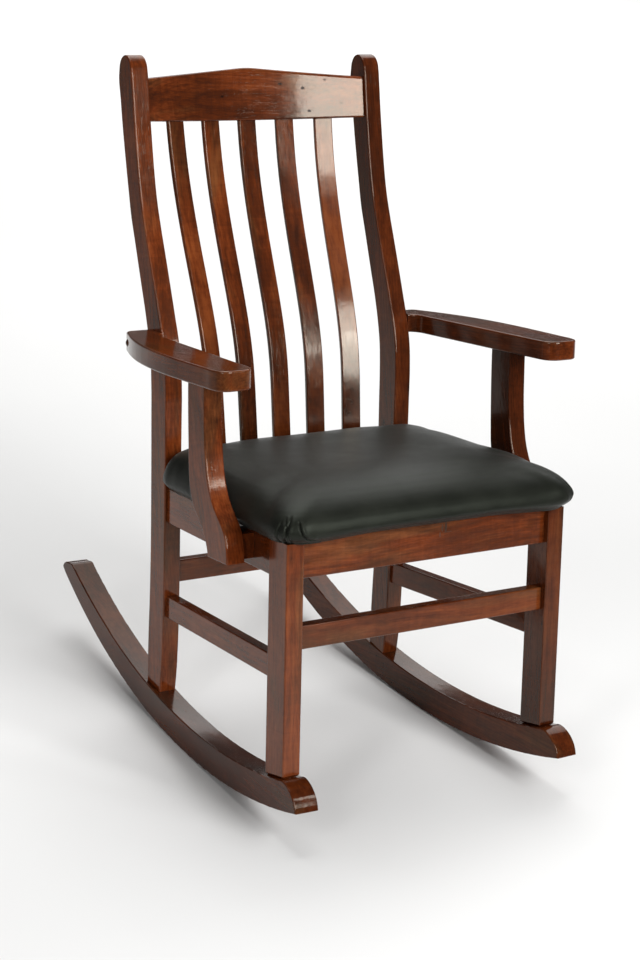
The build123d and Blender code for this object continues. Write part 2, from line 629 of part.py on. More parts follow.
# screws that hold the corner blocks, two to each block
block_screws = []
for p0, p1, hs in (
    ((214.0, 80.0, 419.0), (246.0, 80.0, 419.0), ("block_f", "side_apron")),
    ((190.0, 58.0, 413.0), (190.0, 25.0, 413.0), ("block_f", "front_apron")),
    ((204.0, 388.0, 419.0), (238.0, 388.0, 419.0), ("block_b", "side_apron")),
    ((178.0, 396.0, 413.0), (178.0, 431.0, 413.0), ("block_b", "rear_apron")),
):
    d = screw(p0, p1, 2.2, 4.0, 2.4)
    let_in(d, *hs)
    block_screws.append(d)

# screws up through the corner blocks into the seat board
seat_screws = []
for x, y, host in ((206.0, 50.0, "block_f"), (196.0, 404.0, "block_b")):
    y = min(y, 380.0)
    d = screw((x, y, BLOCK_Z0 - 2.4), (x, y, SEAT_Z + LEATHER + 9.0), 2.2, 4.2, 2.4)
    let_in(d, host, "board", "dust", "cover")
    seat_screws.append(d)

# staples that hold the turned-under leather to the board
staples = []


def staple(x, y, along_x):
    w, t, leg_l = 10.0, 0.7, 8.0
    if along_x:
        crown = box(x - w / 2, x + w / 2, y - t / 2, y + t / 2, SEAT_Z, SEAT_Z + t)
        l1 = box(x - w / 2, x - w / 2 + t, y - t / 2, y + t / 2, SEAT_Z, SEAT_Z + leg_l)
        l2 = box(x + w / 2 - t, x + w / 2, y - t / 2, y + t / 2, SEAT_Z, SEAT_Z + leg_l)
    else:
        crown = box(x - t / 2, x + t / 2, y - w / 2, y + w / 2, SEAT_Z, SEAT_Z + t)
        l1 = box(x - t / 2, x + t / 2, y - w / 2, y - w / 2 + t, SEAT_Z, SEAT_Z + leg_l)
        l2 = box(x - t / 2, x + t / 2, y + w / 2 - t, y + w / 2, SEAT_Z, SEAT_Z + leg_l)
    return crown + l1 + l2


for i in range(8):
    x = -182.0 + i * 52.0
    staples.append(staple(x, 20.0, True))
    staples.append(staple(x * 0.9, 376.0, True))
for i in range(7):
    y = 58.0 + i * 47.0
    xs = 224.0 - (y - 58.0) * 0.056
    staples.append(staple(xs, y, False))
    staples.append(staple(-xs, y, False))
staple_set = Compound(children=[v for d in staples for v in d.solids()])
for name in ("cover", "board"):
    body = hosts[name]
    for d in staples:
        body = body - d
    hosts[name] = body

front_leg_r, back_post_r, arm_r, arm_post_r = hosts["leg"], hosts["post"], hosts["arm"], hosts["arm_post"]
spacer_r, side_apron_r, rocker_r = hosts["spacer"], hosts["side_apron"], hosts["rocker"]
block_f, block_b = hosts["block_f"], hosts["block_b"]
front_apron, rear_apron = hosts["front_apron"], hosts["rear_apron"]


def left_too(tools):
    return [mirror_x(d) for d in tools]


for d in left_too(block_screws):
    if d.center().Y < 70.0:
        front_apron = front_apron - d
    elif d.center().Y > 400.0:
        rear_apron = rear_apron - d
for d in left_too(rocker_dowels):
    rocker_l = rocker_l - d
board, dust_cover, seat_cover, seat_foam = hosts["board"], hosts["dust"], hosts["cover"], hosts["foam"]
for d in left_too(seat_screws):
    board, dust_cover, seat_cover = board - d, dust_cover - d, seat_cover - d


# ------------------------------------------------------------------ final attitude
def settle(s):
    """Lean the piece back about the rockers' arc centre and bring it over the origin."""
    s = Pos(0, -ROCK_Y0, -ROCK_R) * s
    s = Rot(-LEAN_DEG, 0, 0) * s
    return Pos(0, ROCK_Y0 - Y_CENTRE, ROCK_R - SPLAY_RISE) * s


pieces = {
    "front_leg": [front_leg_r], "back_post": [back_post_r], "side_apron": [side_apron_r],
    "side_stretcher": [side_stretcher_r], "arm": [arm_r], "arm_post": [arm_post_r], "arm_post_spacer": [spacer_r],
    "corner_block_front": [block_f], "corner_block_rear": [block_b],
}
out_nodes = {"rocker_right": [rocker_r], "rocker_left": [rocker_l]}
for name, (s,) in pieces.items():
    out_nodes[name + "_right"] = [s]
    out_nodes[name + "_left"] = [mirror_x(s)]
out_nodes["front_apron"] = [front_apron]
out_nodes["rear_apron"] = [rear_apron]
out_nodes["front_stretcher"] = [front_stretcher]
out_nodes["rear_stretcher"] = [rear_stretcher]
out_nodes["crest_rail"] = [crest]
for i, s in enumerate(slats):
    out_nodes["back_slat_%d" % (i + 1)] = [s]
out_nodes["seat_cover"] = [seat_cover]
out_nodes["seat_foam"] = [seat_foam]
out_nodes["seat_board"] = [board]
out_nodes["dust_cover"] = [dust_cover]
out_nodes["rocker_dowels"] = rocker_dowels + [mirror_x(d) for d in rocker_dowels]
out_nodes["arm_dowels"] = arm_dowels + [mirror_x(d) for d in arm_dowels]
out_nodes["arm_screws"] = [arm_screw, mirror_x(arm_screw)]
out_nodes["arm_buttons"] = [arm_button, mirror_x(arm_button)]
out_nodes["arm_post_screws"] = arm_post_screws + left_too(arm_post_screws)
out_nodes["corner_block_screws"] = block_screws + left_too(block_screws)
out_nodes["seat_screws"] = seat_screws + left_too(seat_screws)
out_nodes["leather_staples"] = staples

for name, solids in out_nodes.items():
    settled = [settle(s) for s in solids]
    flat = [v for s in settled for v in s.solids()]
    shape = flat[0] if len(flat) == 1 else Compound(children=flat)
    export_step(shape, "parts/%s.step" % name)
    print(name, len(flat), round(sum(v.volume for v in flat)))
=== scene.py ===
import math

import bmesh
import bpy
from mathutils import Euler, Matrix, Vector, noise


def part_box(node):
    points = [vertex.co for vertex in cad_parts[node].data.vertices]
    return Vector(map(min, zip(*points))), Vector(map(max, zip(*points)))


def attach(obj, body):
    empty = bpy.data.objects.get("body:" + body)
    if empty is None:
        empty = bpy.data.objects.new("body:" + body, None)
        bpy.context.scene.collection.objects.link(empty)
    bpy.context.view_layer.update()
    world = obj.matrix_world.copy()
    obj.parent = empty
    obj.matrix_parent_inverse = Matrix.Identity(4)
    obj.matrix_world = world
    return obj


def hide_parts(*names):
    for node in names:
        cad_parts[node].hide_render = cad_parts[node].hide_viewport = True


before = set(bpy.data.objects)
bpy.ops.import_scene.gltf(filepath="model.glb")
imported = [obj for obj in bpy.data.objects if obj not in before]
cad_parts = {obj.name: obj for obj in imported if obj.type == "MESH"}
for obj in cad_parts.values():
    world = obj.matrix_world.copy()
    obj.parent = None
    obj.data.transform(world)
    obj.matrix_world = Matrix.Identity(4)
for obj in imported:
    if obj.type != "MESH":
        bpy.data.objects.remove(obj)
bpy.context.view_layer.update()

# ------------------------------------------------------------------ shared attitude of the chair
# The chair is drawn with its legs upright and then leaned back about the rockers' arc centre.
LEAN = math.radians(8.7)
ARC_Y, ARC_Z = 0.1824, 1.0387
SHIFT_Y, SHIFT_Z = -0.236357, -0.00006


def settle(p):
    """Upright-frame point, metres, to the shared frame."""
    dy, dz = p[1] - ARC_Y, p[2] - ARC_Z
    c, s = math.cos(LEAN), math.sin(LEAN)
    return Vector((p[0], dy * c + dz * s + ARC_Y + SHIFT_Y, -dy * s + dz * c + ARC_Z + SHIFT_Z))


def lean_dir(v):
    c, s = math.cos(LEAN), math.sin(LEAN)
    return Vector((v[0], v[1] * c + v[2] * s, -v[1] * s + v[2] * c))


# ------------------------------------------------------------------ camera
CAM_POS = (-2.04899, -2.79784, 1.29902)      # upright frame
YAW, PITCH, ROLL = 0.580932, 0.224528, 0.0231762
FOCAL_PX, CX, CY = 2266.733, 319.808, 480.537

f = Vector((math.sin(YAW) * math.cos(PITCH), math.cos(YAW) * math.cos(PITCH), -math.sin(PITCH)))
r = f.cross(Vector((0, 0, 1))).normalized()
u = r.cross(f)
right = r * math.cos(ROLL) + u * math.sin(ROLL)
up = u * math.cos(ROLL) - r * math.sin(ROLL)
right, up, back = lean_dir(right), lean_dir(up), lean_dir(-f)
cam_data = bpy.data.cameras.new("photo_camera")
cam = bpy.data.objects.new("photo_camera", cam_data)
bpy.context.scene.collection.objects.link(cam)
loc = settle(CAM_POS)
cam.matrix_world = Matrix(
    ((right.x, up.x, back.x, loc.x), (right.y, up.y, back.y, loc.y), (right.z, up.z, back.z, loc.z), (0, 0, 0, 1))
)
cam_data.sensor_fit = "HORIZONTAL"
cam_data.sensor_width = 36.0
cam_data.lens = FOCAL_PX / 640.0 * 36.0
cam_data.shift_x = (320.0 - CX) / 640.0
cam_data.shift_y = (CY - 480.0) / 640.0
cam_data.clip_end = 100.0
bpy.context.scene.camera = cam


# ------------------------------------------------------------------ node helpers
class Tree:
    """Small builder for one material's nodes."""

    def __init__(self, name):
        self.mat = bpy.data.materials.new(name)
        self.mat.use_nodes = True
        self.nt = self.mat.node_tree
        self.nt.nodes.clear()
        self.out = self.nt.nodes.new("ShaderNodeOutputMaterial")
        self.bsdf = self.nt.nodes.new("ShaderNodeBsdfPrincipled")
        self.link(self.bsdf.outputs["BSDF"], self.out.inputs["Surface"])

    def link(self, a, b):
        self.nt.links.new(a, b)

    def put(self, sock, v):
        if isinstance(v, bpy.types.NodeSocket):
            self.link(v, sock)
        elif isinstance(v, (tuple, list, Vector)) and sock.type == "RGBA" and len(v) == 3:
            sock.default_value = (*v, 1.0)
        else:
            sock.default_value = v

    def node(self, kind, **props):
        n = self.nt.nodes.new(kind)
        for k, v in props.items():
            setattr(n, k, v)
        return n

    def math(self, op, a, b=0.0, c=0.0, clamp=False):
        n = self.node("ShaderNodeMath", operation=op, use_clamp=clamp)
        for i, v in enumerate((a, b, c)):
            if i < len(n.inputs):
                self.put(n.inputs[i], v)
        return n.outputs[0]

    def vmath(self, op, a, b=(0, 0, 0)):
        n = self.node("ShaderNodeVectorMath", operation=op)
        self.put(n.inputs[0], a)
        if isinstance(b, (int, float)):
            n.inputs["Scale"].default_value = b
        else:
            self.put(n.inputs[1], b)
        return n.outputs["Value"] if op in ("LENGTH", "DOT_PRODUCT", "DISTANCE") else n.outputs["Vector"]

    def ramp(self, fac, stops, interp="LINEAR"):
        n = self.node("ShaderNodeValToRGB")
        n.color_ramp.interpolation = interp
        el = n.color_ramp.elements
        while len(el) < len(stops):
            el.new(0.5)
        for e, (pos, col) in zip(el, stops):
            e.position = pos
            e.color = (*col, 1.0) if len(col) == 3 else col
        self.put(n.inputs["Fac"], fac)
        return n.outputs["Color"]

    def remap(self, v, a, b, c=0.0, d=1.0, smooth=False):
        n = self.node("ShaderNodeMapRange", interpolation_type="SMOOTHSTEP" if smooth else "LINEAR")
        self.put(n.inputs["Value"], v)
        for k, x in zip(("From Min", "From Max", "To Min", "To Max"), (a, b, c, d)):
            self.put(n.inputs[k], x)
        return n.outputs["Result"]

    def noise(self, vec, scale=1.0, detail=2.0, rough=0.5, distort=0.0, what="Fac"):
        n = self.node("ShaderNodeTexNoise")
        self.put(n.inputs["Vector"], vec)
        for k, x in (("Scale", scale), ("Detail", detail), ("Roughness", rough), ("Distortion", distort)):
            self.put(n.inputs[k], x)
        return n.outputs[what]

    def voronoi(self, vec, scale, feature="F1", what="Distance", rnd=1.0):
        n = self.node("ShaderNodeTexVoronoi", feature=feature)
        self.put(n.inputs["Vector"], vec)
        n.inputs["Scale"].default_value = scale
        n.inputs["Randomness"].default_value = rnd
        return n.outputs[what]

    def mix(self, fac, a, b, mode="MIX"):
        n = self.node("ShaderNodeMix", data_type="RGBA", blend_type=mode)
        n.clamp_factor = True
        self.put(n.inputs["Factor"], fac)
        self.put([s for s in n.inputs if s.name == "A" and s.type == "RGBA"][0], a)
        self.put([s for s in n.inputs if s.name == "B" and s.type == "RGBA"][0], b)
        return [s for s in n.outputs if s.type == "RGBA"][0]

    def bump(self, height, strength, distance, normal=None):
        n = self.node("ShaderNodeBump")
        n.inputs["Strength"].default_value = strength
        n.inputs["Distance"].default_value = distance
        self.put(n.inputs["Height"], height)
        if normal is not None:
            self.put(n.inputs["Normal"], normal)
        return n.outputs["Normal"]

    def place(self, origin, grain, face):
        """Coordinates of a board: x along its grain, y across its face, z out of its face."""
        g = Vector(grain).normalized()
        n = Vector(face)
        n = (n - g * n.dot(g)).normalized()
        w = n.cross(g)
        m = Matrix((g, w, n))
        tc = self.node("ShaderNodeTexCoord")
        mp = self.node("ShaderNodeMapping", vector_type="POINT")
        mp.inputs["Rotation"].default_value = m.to_euler()
        mp.inputs["Location"].default_value = -(m @ Vector(origin))
        self.link(tc.outputs["Object"], mp.inputs["Vector"])
        return mp.outputs["Vector"]


# ------------------------------------------------------------------ stained hardwood
WOOD_DARK = (0.036, 0.0080, 0.0026)
WOOD_MID = (0.118, 0.0232, 0.0050)
WOOD_LIGHT = (0.212, 0.0500, 0.0115)


def wood(name, origin, grain, face, seed, tone_and_shade=1.0, heart=0.06, figure=1.0, gloss=1.0, knots=0.5, spec=0.34, low_shade=None, marks=()):
    """Red-brown stained cherry under clear lacquer. Grain runs along the board."""
    t = Tree(name)
    p = t.place(Vector(origin), grain, face)
    shift = t.vmath("ADD", p, (seed * 3.17, seed * 1.31, seed * 2.23))
    # slow wander of the grain, so that no line is ruler straight
    wander = t.noise(t.vmath("MULTIPLY", shift, (2.6, 7.0, 7.0)), 1.0, 2.0, 0.5, what="Color")
    wander = t.vmath("MULTIPLY", t.vmath("SUBTRACT", wander, (0.5, 0.5, 0.5)), (0.0, 0.030, 0.024))
    q = t.vmath("ADD", p, wander)
    # growth rings, cut through off centre: long flames on the face and straight lines on the edge
    sep = t.node("ShaderNodeSeparateXYZ")
    t.link(q, sep.inputs[0])
    drift = t.math("MULTIPLY", sep.outputs["X"], 0.045)
    ry = t.math("ADD", sep.outputs["Y"], 0.011 * math.sin(seed * 2.1))
    rz = t.math("ADD", t.math("ADD", sep.outputs["Z"], heart), drift)
    rad = t.math("SQRT", t.math("ADD", t.math("MULTIPLY", ry, ry), t.math("MULTIPLY", rz, rz)))
    ring_phase = t.math("MULTIPLY", rad, 2 * math.pi / 0.0046)
    ring = t.math("MULTIPLY_ADD", t.math("SINE", ring_phase), 0.5, 0.5)
    ring = t.math("POWER", ring, 2.2)
    ring_mod = t.noise(t.vmath("MULTIPLY", shift, (3.0, 40.0, 40.0)), 1.0, 2.0, 0.5)
    ring = t.math("MULTIPLY", ring, t.remap(ring_mod, 0.35, 0.65, 0.25, 1.0))
    # streaks and pores drawn out along the grain
    streak = t.noise(t.vmath("MULTIPLY", t.vmath("ADD", shift, wander), (5.0, 130.0, 130.0)), 1.0, 4.0, 0.62)
    fine = t.noise(t.vmath("MULTIPLY", t.vmath("ADD", shift, wander), (26.0, 1050.0, 1050.0)), 1.0, 3.0, 0.6)
    pores = t.remap(fine, 0.60, 0.72, 0.0, 1.0, True)
    # the cloudy figure of cherry where the stain took unevenly
    cloud = t.noise(t.vmath("MULTIPLY", shift, (11.0, 26.0, 26.0)), 1.0, 3.0, 0.55, 0.6)
    broad = t.noise(t.vmath("MULTIPLY", shift, (3.1, 8.0, 8.0)), 1.0, 2.0, 0.5)
    curl = t.noise(t.vmath("MULTIPLY", shift, (95.0, 16.0, 16.0)), 1.0, 2.0, 0.5, 1.2)
    fleck = t.noise(t.vmath("MULTIPLY", t.vmath("ADD", shift, wander), (58.0, 400.0, 400.0)), 1.0, 3.0, 0.6, 0.5)
    v = t.math("MULTIPLY_ADD", t.math("SUBTRACT", streak, 0.5), 0.95, 0.50)
    v = t.math("MULTIPLY_ADD", t.math("SUBTRACT", fleck, 0.5), 0.55, v)
    v = t.math("MULTIPLY_ADD", t.math("SUBTRACT", cloud, 0.5), 0.66 * figure, v)
    v = t.math("MULTIPLY_ADD", t.math("SUBTRACT", broad, 0.5), 1.10 * figure, v)
    v = t.math("MULTIPLY_ADD", t.math("SUBTRACT", curl, 0.5), 0.26 * figure, v)
    v = t.math("MULTIPLY_ADD", ring, -0.13, v)
    v = t.math("MULTIPLY_ADD", pores, -0.10, v, clamp=True)
    col = t.ramp(v, [(0.0, WOOD_DARK), (0.34, tuple(0.62 * c for c in WOOD_MID)), (0.56, WOOD_MID), (1.0, WOOD_LIGHT)])
    drift2 = t.noise(t.vmath("MULTIPLY", shift, (4.3, 17.0, 17.0)), 1.0, 3.0, 0.55, 0.8)
    olive = t.mix(v, (0.020, 0.0082, 0.0030), (0.155, 0.0640, 0.0215))
    col = t.mix(t.remap(drift2, 0.48, 0.70, 0.0, 0.50, True), col, olive)
    # pin knots: few, small, near black with a short dark tail along the grain
    kvec = t.vmath("MULTIPLY", shift, (17.0, 34.0, 34.0))
    kd = t.voronoi(kvec, 1.0)
    kc = t.node("ShaderNodeSeparateColor")
    kvn = t.voronoi(kvec, 1.0, what="Color")
    t.link(kvn, kc.inputs[0])
    chosen = t.math("GREATER_THAN", kc.outputs[0], 1.0 - 0.22 * knots)
    knot = t.math("MULTIPLY", t.remap(kd, 0.045, 0.10, 1.0, 0.0, True), chosen)
    col = t.mix(knot, col, (0.010, 0.004, 0.002))
    halo = t.math("MULTIPLY", t.remap(kd, 0.08, 0.34, 0.42, 0.0, True), chosen)
    col = t.mix(halo, col, WOOD_DARK)
    # knots and flecks with a place of their own: (upright point, half width along x, half height)
    spot = None
    if marks:
        here = t.node("ShaderNodeTexCoord").outputs["Object"]
        rag = t.noise(t.vmath("MULTIPLY", here, (900.0, 900.0, 900.0)), 1.0, 2.0, 0.5)
    for point, half_x, half_z, dark in marks:
        off = t.vmath("SUBTRACT", here, tuple(settle(point)))
        off = t.vmath("MULTIPLY", off, (1.0 / half_x, 0.0, 1.0 / half_z))
        reach = t.math("MULTIPLY_ADD", t.math("SUBTRACT", rag, 0.5), 0.9, t.vmath("LENGTH", off))
        fac = t.remap(reach, 0.45, 1.15, dark, 0.0, True)
        spot = fac if spot is None else t.math("MAXIMUM", spot, fac)
        col = t.mix(fac, col, (0.011, 0.0042, 0.0018))
    # arrises: finish rubbed a little thin
    bev = t.node("ShaderNodeBevel", samples=4)
    bev.inputs["Radius"].default_value = 0.0022
    geo = t.node("ShaderNodeNewGeometry")
    edge = t.math("SUBTRACT", 1.0, t.vmath("DOT_PRODUCT", bev.outputs["Normal"], geo.outputs["Normal"]))
    rub = t.noise(t.vmath("MULTIPLY", shift, (40.0, 60.0, 60.0)), 1.0, 2.0, 0.6)
    worn = t.math("MULTIPLY", t.remap(edge, 0.02, 0.22, 0.0, 1.0), t.remap(rub, 0.42, 0.62, 0.0, 0.55))
    col = t.mix(worn, col, tuple(min(1.0, 1.5 * c) for c in WOOD_LIGHT))
    # board tone, which on the right-hand pieces and right-hand slats is painted shade
    bright = t.node("ShaderNodeHueSaturation")
    bright.inputs["Value"].default_value = tone_and_shade
    t.link(col, bright.inputs["Color"])
    col = bright.outputs["Color"]
    if low_shade:
        # painted shade: colour darkened towards the lower end of the slat, near the seat, where less light falls
        height = t.node("ShaderNodeSeparateXYZ")
        t.link(t.node("ShaderNodeTexCoord").outputs["Object"], height.inputs[0])
        col = t.mix(1.0, col, t.remap(height.outputs["Z"], low_shade[0], low_shade[1], low_shade[2], 1.0, True), "MULTIPLY")
    b = t.bsdf
    t.link(col, b.inputs["Base Color"])
    # lacquer: soft gloss, a little duller where the grain is open and where hands have been
    smear = t.noise(t.vmath("MULTIPLY", shift, (14.0, 22.0, 22.0)), 1.0, 3.0, 0.6)
    rough = t.remap(smear, 0.3, 0.7, 0.10 / gloss, 0.17 / gloss)
    rough = t.math("MULTIPLY_ADD", pores, 0.07, rough)
    if spot is not None:
        rough = t.math("MULTIPLY_ADD", spot, 0.65, rough, True)
    t.link(rough, b.inputs["Roughness"])
    b.inputs["Specular IOR Level"].default_value = spec
    b.inputs["Specular Tint"].default_value = (1.0, 0.90, 0.74, 1.0)
    b.inputs["Coat Weight"].default_value = 0.10
    b.inputs["Coat Roughness"].default_value = 0.06 / gloss
    b.inputs["Coat IOR"].default_value = 1.5
    peel = t.noise(t.vmath("MULTIPLY", shift, (38.0, 60.0, 60.0)), 1.0, 2.0, 0.5)
    n1 = t.bump(peel, 0.30, 0.0006)
    grain_h = t.math("ADD", t.math("MULTIPLY", pores, -0.7), t.math("MULTIPLY", streak, 0.5))
    n2 = t.bump(grain_h, 0.30, 0.00016, n1)
    t.link(n2, b.inputs["Normal"])
    t.link(n1, b.inputs["Coat Normal"])
    return t.mat


def raw_wood(name, origin, grain, face, seed, ply=False):
    """Unfinished inner timber: blocks, dowels and the seat board."""
    t = Tree(name)
    p = t.place(Vector(origin), grain, face)
    shift = t.vmath("ADD", p, (seed * 1.9, seed * 0.7, seed * 1.1))
    streak = t.noise(t.vmath("MULTIPLY", shift, (7.0, 170.0, 170.0)), 1.0, 4.0, 0.6)
    cloud = t.noise(t.vmath("MULTIPLY", shift, (9.0, 22.0, 22.0)), 1.0, 2.0, 0.5)
    fine = t.noise(t.vmath("MULTIPLY", shift, (40.0, 900.0, 900.0)), 1.0, 2.0, 0.6)
    v = t.math("MULTIPLY_ADD", t.math("SUBTRACT", cloud, 0.5), 0.7, streak)
    v = t.math("MULTIPLY_ADD", t.math("SUBTRACT", fine, 0.5), 0.5, v, clamp=True)
    col = t.ramp(v, [(0.15, (0.20, 0.105, 0.045)), (0.5, (0.36, 0.215, 0.105)), (0.9, (0.52, 0.35, 0.19))])
    if ply:
        sep = t.node("ShaderNodeSeparateXYZ")
        t.link(p, sep.inputs[0])
        lines = t.math("SINE", t.math("MULTIPLY", sep.outputs["Z"], 2 * math.pi / 0.0028))
        col = t.mix(t.remap(lines, 0.1, 0.5, 0.0, 0.35), col, (0.17, 0.085, 0.035))
    t.link(col, t.bsdf.inputs["Base Color"])
    t.link(t.remap(fine, 0.3, 0.7, 0.62, 0.82), t.bsdf.inputs["Roughness"])
    t.link(t.bump(t.math("ADD", streak, fine), 0.5, 0.0003), t.bsdf.inputs["Normal"])
    return t.mat


def steel(name):
    """Zinc-plated screw steel with fine turning marks and dull patches."""
    t = Tree(name)
    tc = t.node("ShaderNodeTexCoord").outputs["Object"]
    patch = t.noise(tc, 260.0, 3.0, 0.6)
    scratch = t.noise(t.vmath("MULTIPLY", tc, (3000.0, 400.0, 400.0)), 1.0, 2.0, 0.5)
    col = t.ramp(patch, [(0.3, (0.34, 0.33, 0.30)), (0.55, (0.52, 0.51, 0.47)), (0.8, (0.62, 0.61, 0.58))])
    t.link(col, t.bsdf.inputs["Base Color"])
    t.bsdf.inputs["Metallic"].default_value = 1.0
    t.link(t.remap(patch, 0.3, 0.7, 0.42, 0.26), t.bsdf.inputs["Roughness"])
    t.link(t.bump(scratch, 0.3, 0.00004), t.bsdf.inputs["Normal"])
    return t.mat


def dust_cloth(name):
    """Black non-woven dust cover under the seat."""
    t = Tree(name)
    tc = t.node("ShaderNodeTexCoord").outputs["Object"]
    fibre = t.noise(tc, 1500.0, 4.0, 0.7, 1.5)
    dots = t.voronoi(tc, 650.0)
    col = t.ramp(fibre, [(0.3, (0.008, 0.008, 0.009)), (0.7, (0.030, 0.030, 0.032))])
    t.link(col, t.bsdf.inputs["Base Color"])
    t.bsdf.inputs["Roughness"].default_value = 0.9
    t.bsdf.inputs["Sheen Weight"].default_value = 0.25
    t.bsdf.inputs["Sheen Roughness"].default_value = 0.6
    t.link(t.bump(t.math("MULTIPLY_ADD", dots, 0.8, fibre), 0.6, 0.0003), t.bsdf.inputs["Normal"])
    return t.mat


def leather(name):
    """Black upholstery leather with a green-grey cast: fine pebble, soft creases, satin top coat."""
    t = Tree(name)
    tc = t.node("ShaderNodeTexCoord").outputs["Object"]
    warp = t.noise(tc, 70.0, 2.0, 0.5, what="Color")
    wv = t.vmath("ADD", tc, t.vmath("MULTIPLY", warp, (0.0016, 0.0016, 0.0016)))
    cell = t.voronoi(wv, 760.0, "SMOOTH_F1")
    crack = t.voronoi(wv, 760.0, "DISTANCE_TO_EDGE")
    coarse = t.voronoi(wv, 300.0, "DISTANCE_TO_EDGE")
    cloud = t.noise(tc, 17.0, 3.0, 0.6, 0.4)
    broad = t.noise(tc, 5.0, 2.0, 0.5)
    v = t.math("MULTIPLY_ADD", t.math("SUBTRACT", broad, 0.5), 0.8, cloud)
    col = t.ramp(v, [(0.25, (0.0056, 0.0062, 0.0046)), (0.55, (0.0092, 0.0100, 0.0076)), (0.85, (0.0145, 0.0155, 0.0120))])
    col = t.mix(t.remap(crack, 0.0, 0.10, 0.5, 0.0, True), col, (0.004, 0.0043, 0.0036))
    t.link(col, t.bsdf.inputs["Base Color"])
    rough = t.remap(cloud, 0.3, 0.7, 0.30, 0.37)
    rough = t.math("MULTIPLY_ADD", t.remap(crack, 0.0, 0.12, 1.0, 0.0), 0.10, rough)
    t.link(rough, t.bsdf.inputs["Roughness"])
    t.bsdf.inputs["Specular IOR Level"].default_value = 0.125
    t.bsdf.inputs["Specular Tint"].default_value = (0.88, 1.0, 0.80, 1.0)
    t.bsdf.inputs["Coat Weight"].default_value = 0.02
    t.bsdf.inputs["Coat Roughness"].default_value = 0.34
    t.bsdf.inputs["Sheen Weight"].default_value = 0.02
    t.bsdf.inputs["Sheen Roughness"].default_value = 0.5
    slow = t.noise(tc, 26.0, 3.0, 0.5, 0.3)
    n1 = t.bump(slow, 0.25, 0.0012)
    h = t.math("MULTIPLY_ADD", t.remap(crack, 0.0, 0.22, 0.0, 1.0, True), 1.0, t.math("MULTIPLY", cell, -0.6))
    h = t.math("MULTIPLY_ADD", t.remap(coarse, 0.0, 0.10, 0.0, 1.0, True), 0.25, h)
    n2 = t.bump(h, 0.34, 0.00018, n1)
    t.link(n2, t.bsdf.inputs["Normal"])
    return t.mat


# ------------------------------------------------------------------ finish on every CAD piece
def centre(node):
    lo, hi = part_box(node)
    return (Vector(lo) + Vector(hi)) / 2


def dress(node, mat):
    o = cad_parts[node]
    o.data.materials.clear()
    o.data.materials.append(mat)
    for slot in o.material_slots:
        slot.material = mat


X, UP, FWD = Vector((1, 0, 0)), lean_dir((0, 0, 1)), lean_dir((0, -1, 0))
# node: (grain direction, face direction, seed, tone and painted shade, heart distance, figure); the right-hand pieces
# are darkened as painted shade, where less light reaches them
BOARDS = {
    "rocker_left": (lean_dir((0, 1, 0.05)), X, 1.3, 0.50, 0.075, 1.0),
    "rocker_right": (lean_dir((0, 1, 0.05)), X, 2.6, 0.60, 0.06, 1.0),
    "front_leg_left": (UP, FWD, 3.1, 1.0, 0.05, 0.9),
    "front_leg_right": (UP, FWD, 4.7, 0.52, 0.07, 0.9),
    "back_post_left": (lean_dir((0, 0.10, 1)), X, 5.2, 1.08, 0.06, 1.0),
    "back_post_right": (lean_dir((0, 0.10, 1)), X, 6.9, 0.68, 0.08, 1.0),
    "side_apron_left": (lean_dir((0.06, 1, 0)), X, 7.4, 0.95, 0.05, 0.9),
    "side_apron_right": (lean_dir((-0.06, 1, 0)), X, 8.8, 0.95, 0.05, 0.9),
    "side_stretcher_left": (lean_dir((0.06, 1, 0)), X, 9.3, 1.0, 0.06, 0.9),
    "side_stretcher_right": (lean_dir((-0.06, 1, 0)), X, 10.1, 1.0, 0.06, 0.9),
    "front_apron": (X, FWD, 11.6, 0.98, 0.045, 1.0),
    "rear_apron": (X, FWD, 12.2, 0.95, 0.06, 1.0),
    "front_stretcher": (X, FWD, 13.7, 0.78, 0.05, 0.9),
    "rear_stretcher": (X, FWD, 14.4, 1.0, 0.06, 0.9),
    "crest_rail": (X, lean_dir((0, -1, 0.12)), 15.9, 1.0, 0.035, 1.35),
    "arm_left": (lean_dir((0.03, 1, 0)), UP, 16.5, 0.78, 0.05, 1.1),
    "arm_right": (lean_dir((-0.03, 1, 0)), UP, 17.8, 0.72, 0.06, 1.1),
    "arm_post_left": (lean_dir((0, 0.3, 1)), X, 18.4, 1.12, 0.05, 1.1),
    "arm_post_right": (lean_dir((0, 0.3, 1)), X, 19.9, 0.46, 0.06, 1.1),
    "arm_post_spacer_left": (lean_dir((0, 1, 0)), X, 25.1, 0.9, 0.05, 0.8),
    "arm_post_spacer_right": (lean_dir((0, 1, 0)), X, 26.4, 0.9, 0.05, 0.8),
    "arm_buttons": (X, UP, 27.7, 0.42, 0.03, 0.5),
}
for i in range(5):
    # slats 4 and 5, on the right, are darkened as painted shade
    BOARDS["back_slat_%d" % (i + 1)] = (lean_dir((0, 0.24, 1)), lean_dir((0.1 * (i - 2), -1, 0.2)), 20.3 + 1.7 * i, (0.98, 1.0, 0.96, 0.86, 0.80)[i], 0.05 + 0.008 * i, 1.5)
MARKS = {
    "front_apron": [
        ((0.0372, 0.012, 0.4310), 0.0026, 0.0110, 0.95), ((0.0306, 0.012, 0.4300), 0.0022, 0.0070, 0.75),
        ((0.0262, 0.012, 0.4190), 0.0020, 0.0055, 0.60), ((0.0400, 0.012, 0.4220), 0.0120, 0.0012, 0.35),
    ],
    "crest_rail": [
        ((0.1058, 0.556, 1.0840), 0.0042, 0.0030, 0.90), ((0.1166, 0.556, 1.0461), 0.0044, 0.0022, 0.95),
        ((0.1474, 0.556, 1.0993), 0.0034, 0.0020, 0.75), ((0.1760, 0.556, 1.0610), 0.0050, 0.0010, 0.40),
        ((0.0860, 0.556, 1.0560), 0.0018, 0.0014, 0.45),
    ],
}
